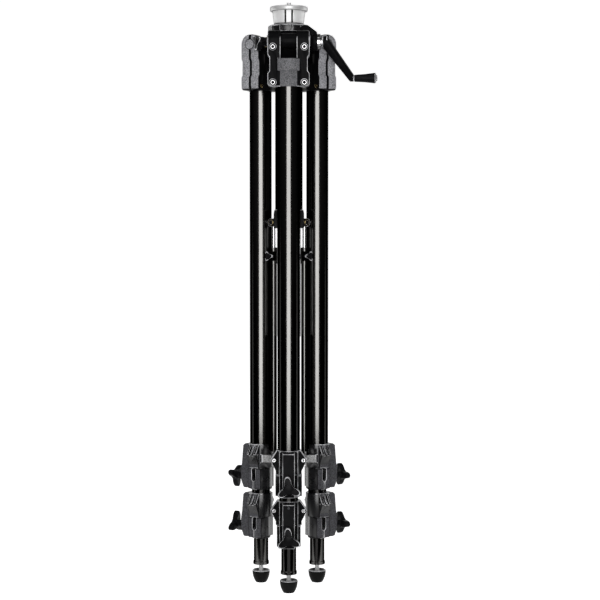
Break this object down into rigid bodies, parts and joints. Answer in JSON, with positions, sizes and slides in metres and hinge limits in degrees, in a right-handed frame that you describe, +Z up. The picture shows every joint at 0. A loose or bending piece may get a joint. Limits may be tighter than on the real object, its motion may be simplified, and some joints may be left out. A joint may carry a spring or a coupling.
{
  "type": "folded camera tripod",
  "caption": "Heavy camera tripod, folded and shut: geared centre column with crank, telescopic legs with wing-knob locks, spreader arms and rubber spike feet.",
  "frame": {"origin": "centre of the head plate's upper face, on the centre column's axis", "axes": "+Z up along the centre column; +Y away from the front leg, so the front leg is at -Y; +X to the right, the side on which the crank stands"},
  "size_m": [0.203, 0.1459, 0.7886],
  "materials": {
    "textured_black_casting": "cast light alloy with a fine textured black paint",
    "gloss_black_metal": "smooth gloss black",
    "black_tube": "drawn tube with a glossy black finish",
    "bright_steel": "bright plated steel",
    "satin_silver_tube": "satin silver",
    "polished_aluminium": "turned and polished",
    "black_crank": "cast arm with a smooth black finish",
    "black_plastic": "moulded, satin",
    "black_collar": "moulded, satin with fine grain",
    "black_rubber": "moulded rubber, satin"
  },
  "bodies": {
    "root": {"hub_casting": "textured_black_casting", "hub_ring": "textured_black_casting", "hinge_pins": "gloss_black_metal", "guide_tube": "black_tube", "spreader_hub": "textured_black_casting", "spreader_pins": "bright_steel"},
    "column": {"column_tube": "satin_silver_tube", "column_rack": "bright_steel", "column_cup": "polished_aluminium", "top_plate": "polished_aluminium", "plate_stud": "bright_steel"},
    "crank": {"crank_shaft": "bright_steel", "crank_arm": "black_crank"},
    "crank_grip": {"crank_grip": "black_plastic"},
    "column_lock": {"lock_knob": "black_plastic"},
    "front_leg": {"front_outer_casting": "textured_black_casting", "front_inner_casting": "textured_black_casting", "front_casting_screws": "bright_steel", "front_upper_tube": "black_tube", "front_upper_collar": "black_collar"},
    "front_middle": {"front_middle_tube": "black_tube", "front_lower_collar": "black_collar"},
    "front_lower": {"front_lower_tube": "black_tube", "front_foot_stud": "bright_steel"},
    "front_foot": {"front_rubber_foot": "black_rubber"},
    "front_upper_lock": {"front_upper_knob": "black_plastic"},
    "front_lower_lock": {"front_lower_knob": "black_plastic"},
    "front_arm_rod": {"front_arm_rod": "bright_steel"},
    "front_arm_tube": {"front_arm_tube": "gloss_black_metal"},
    "front_arm_lock": {"front_arm_knob": "black_plastic"},
    "right_leg": {"right_outer_casting": "textured_black_casting", "right_inner_casting": "textured_black_casting", "right_casting_screws": "bright_steel", "right_upper_tube": "black_tube", "right_upper_collar": "black_collar"},
    "right_middle": {"right_middle_tube": "black_tube", "right_lower_collar": "black_collar"},
    "right_lower": {"right_lower_tube": "black_tube", "right_foot_stud": "bright_steel"},
    "right_foot": {"right_rubber_foot": "black_rubber"},
    "right_upper_lock": {"right_upper_knob": "black_plastic"},
    "right_lower_lock": {"right_lower_knob": "black_plastic"},
    "right_arm_rod": {"right_arm_rod": "bright_steel"},
    "right_arm_tube": {"right_arm_tube": "gloss_black_metal"},
    "right_arm_lock": {"right_arm_knob": "black_plastic"},
    "left_leg": {"left_outer_casting": "textured_black_casting", "left_inner_casting": "textured_black_casting", "left_casting_screws": "bright_steel", "left_upper_tube": "black_tube", "left_upper_collar": "black_collar"},
    "left_middle": {"left_middle_tube": "black_tube", "left_lower_collar": "black_collar"},
    "left_lower": {"left_lower_tube": "black_tube", "left_foot_stud": "bright_steel"},
    "left_foot": {"left_rubber_foot": "black_rubber"},
    "left_upper_lock": {"left_upper_knob": "black_plastic"},
    "left_lower_lock": {"left_lower_knob": "black_plastic"},
    "left_arm_rod": {"left_arm_rod": "bright_steel"},
    "left_arm_tube": {"left_arm_tube": "gloss_black_metal"},
    "left_arm_lock": {"left_arm_knob": "black_plastic"}
  },
  "joints": [
    {"name": "column_slide", "type": "slide", "parent": "root", "child": "column", "axis": [0, 0, 1], "range_m": [0, 0.3]},
    {"name": "crank_turn", "type": "hinge", "parent": "root", "child": "crank", "pos_m": [-0.00219, -0.01787, -0.0492], "axis": [0.9925, -0.1219, 0], "continuous": true},
    {"name": "grip_spin", "type": "hinge", "parent": "crank", "child": "crank_grip", "pos_m": [0.08174, -0.01538, -0.0965], "axis": [0.9925, -0.1219, 0], "continuous": true},
    {"name": "column_lock_turn", "type": "hinge", "parent": "root", "child": "column_lock", "pos_m": [0, 0, -0.0487], "axis": [-0.866, -0.5, 0], "range_deg": [0, 270]},
    {"name": "front_leg_hinge", "type": "hinge", "parent": "root", "child": "front_leg", "pos_m": [0, -0.0445, -0.0497], "axis": [-1, 0, 0], "range_deg": [0, 60]},
    {"name": "front_middle_slide", "type": "slide", "parent": "front_leg", "child": "front_middle", "axis": [0, 0, -1], "range_m": [0, 0.375]},
    {"name": "front_lower_slide", "type": "slide", "parent": "front_middle", "child": "front_lower", "axis": [0, 0, -1], "range_m": [0, 0.375]},
    {"name": "front_foot_screw", "type": "slide", "parent": "front_lower", "child": "front_foot", "axis": [0, 0, 1], "range_m": [0, 0.0075]},
    {"name": "front_upper_lock_turn", "type": "hinge", "parent": "front_leg", "child": "front_upper_lock", "pos_m": [0, -0.0445, -0.6372], "axis": [0, -1, 0], "range_deg": [0, 270]},
    {"name": "front_lower_lock_turn", "type": "hinge", "parent": "front_middle", "child": "front_lower_lock", "pos_m": [0, -0.0445, -0.7047], "axis": [0, -1, 0], "range_deg": [0, 270]},
    {"name": "front_arm_hinge", "type": "hinge", "parent": "root", "child": "front_arm_rod", "pos_m": [0, -0.024, -0.2887], "axis": [-1, 0, 0], "range_deg": [0, 83.43]},
    {"name": "front_arm_slide", "type": "slide", "parent": "front_arm_rod", "child": "front_arm_tube", "axis": [0, 0, -1], "range_m": [0, 0.1781]},
    {"name": "front_arm_lock_turn", "type": "hinge", "parent": "front_arm_tube", "child": "front_arm_lock", "pos_m": [0, -0.024, -0.3342], "axis": [1, 0, 0], "range_deg": [0, 270]},
    {"name": "right_leg_hinge", "type": "hinge", "parent": "root", "child": "right_leg", "pos_m": [0.03854, 0.02225, -0.0497], "axis": [0.5, -0.866, 0], "range_deg": [0, 60]},
    {"name": "right_middle_slide", "type": "slide", "parent": "right_leg", "child": "right_middle", "axis": [0, 0, -1], "range_m": [0, 0.375]},
    {"name": "right_lower_slide", "type": "slide", "parent": "right_middle", "child": "right_lower", "axis": [0, 0, -1], "range_m": [0, 0.375]},
    {"name": "right_foot_screw", "type": "slide", "parent": "right_lower", "child": "right_foot", "axis": [0, 0, 1], "range_m": [0, 0.0075]},
    {"name": "right_upper_lock_turn", "type": "hinge", "parent": "right_leg", "child": "right_upper_lock", "pos_m": [0.03854, 0.02225, -0.6372], "axis": [0.866, 0.5, 0], "range_deg": [0, 270]},
    {"name": "right_lower_lock_turn", "type": "hinge", "parent": "right_middle", "child": "right_lower_lock", "pos_m": [0.03854, 0.02225, -0.7047], "axis": [0.866, 0.5, 0], "range_deg": [0, 270]},
    {"name": "right_arm_hinge", "type": "hinge", "parent": "root", "child": "right_arm_rod", "pos_m": [0.02079, 0.012, -0.2887], "axis": [0.5, -0.866, 0], "range_deg": [0, 83.43]},
    {"name": "right_arm_slide", "type": "slide", "parent": "right_arm_rod", "child": "right_arm_tube", "axis": [0, 0, -1], "range_m": [0, 0.1781]},
    {"name": "right_arm_lock_turn", "type": "hinge", "parent": "right_arm_tube", "child": "right_arm_lock", "pos_m": [0.02079, 0.012, -0.3342], "axis": [0.5, -0.866, 0], "range_deg": [0, 270]},
    {"name": "left_leg_hinge", "type": "hinge", "parent": "root", "child": "left_leg", "pos_m": [-0.03854, 0.02225, -0.0497], "axis": [0.5, 0.866, 0], "range_deg": [0, 60]},
    {"name": "left_middle_slide", "type": "slide", "parent": "left_leg", "child": "left_middle", "axis": [0, 0, -1], "range_m": [0, 0.375]},
    {"name": "left_lower_slide", "type": "slide", "parent": "left_middle", "child": "left_lower", "axis": [0, 0, -1], "range_m": [0, 0.375]},
    {"name": "left_foot_screw", "type": "slide", "parent": "left_lower", "child": "left_foot", "axis": [0, 0, 1], "range_m": [0, 0.0075]},
    {"name": "left_upper_lock_turn", "type": "hinge", "parent": "left_leg", "child": "left_upper_lock", "pos_m": [-0.03854, 0.02225, -0.6372], "axis": [-0.866, 0.5, 0], "range_deg": [0, 270]},
    {"name": "left_lower_lock_turn", "type": "hinge", "parent": "left_middle", "child": "left_lower_lock", "pos_m": [-0.03854, 0.02225, -0.7047], "axis": [-0.866, 0.5, 0], "range_deg": [0, 270]},
    {"name": "left_arm_hinge", "type": "hinge", "parent": "root", "child": "left_arm_rod", "pos_m": [-0.02079, 0.012, -0.2887], "axis": [0.5, 0.866, 0], "range_deg": [0, 83.43]},
    {"name": "left_arm_slide", "type": "slide", "parent": "left_arm_rod", "child": "left_arm_tube", "axis": [0, 0, -1], "range_m": [0, 0.1781]},
    {"name": "left_arm_lock_turn", "type": "hinge", "parent": "left_arm_tube", "child": "left_arm_lock", "pos_m": [-0.02079, 0.012, -0.3342], "axis": [-0.5, -0.866, 0], "range_deg": [0, 270]}
  ],
  "couplings": [
    {"joint": "crank_turn", "follows": "column_slide", "rad_per_m": 142.86},
    {"joint": "front_arm_hinge", "follows": "front_leg_hinge", "ratio": 1.3887},
    {"joint": "front_arm_slide", "follows": "front_leg_hinge", "m_per_rad": 0.16984},
    {"joint": "right_arm_hinge", "follows": "right_leg_hinge", "ratio": 1.3887},
    {"joint": "right_arm_slide", "follows": "right_leg_hinge", "m_per_rad": 0.16984},
    {"joint": "left_arm_hinge", "follows": "left_leg_hinge", "ratio": 1.3887},
    {"joint": "left_arm_slide", "follows": "left_leg_hinge", "m_per_rad": 0.16984}
  ]
}
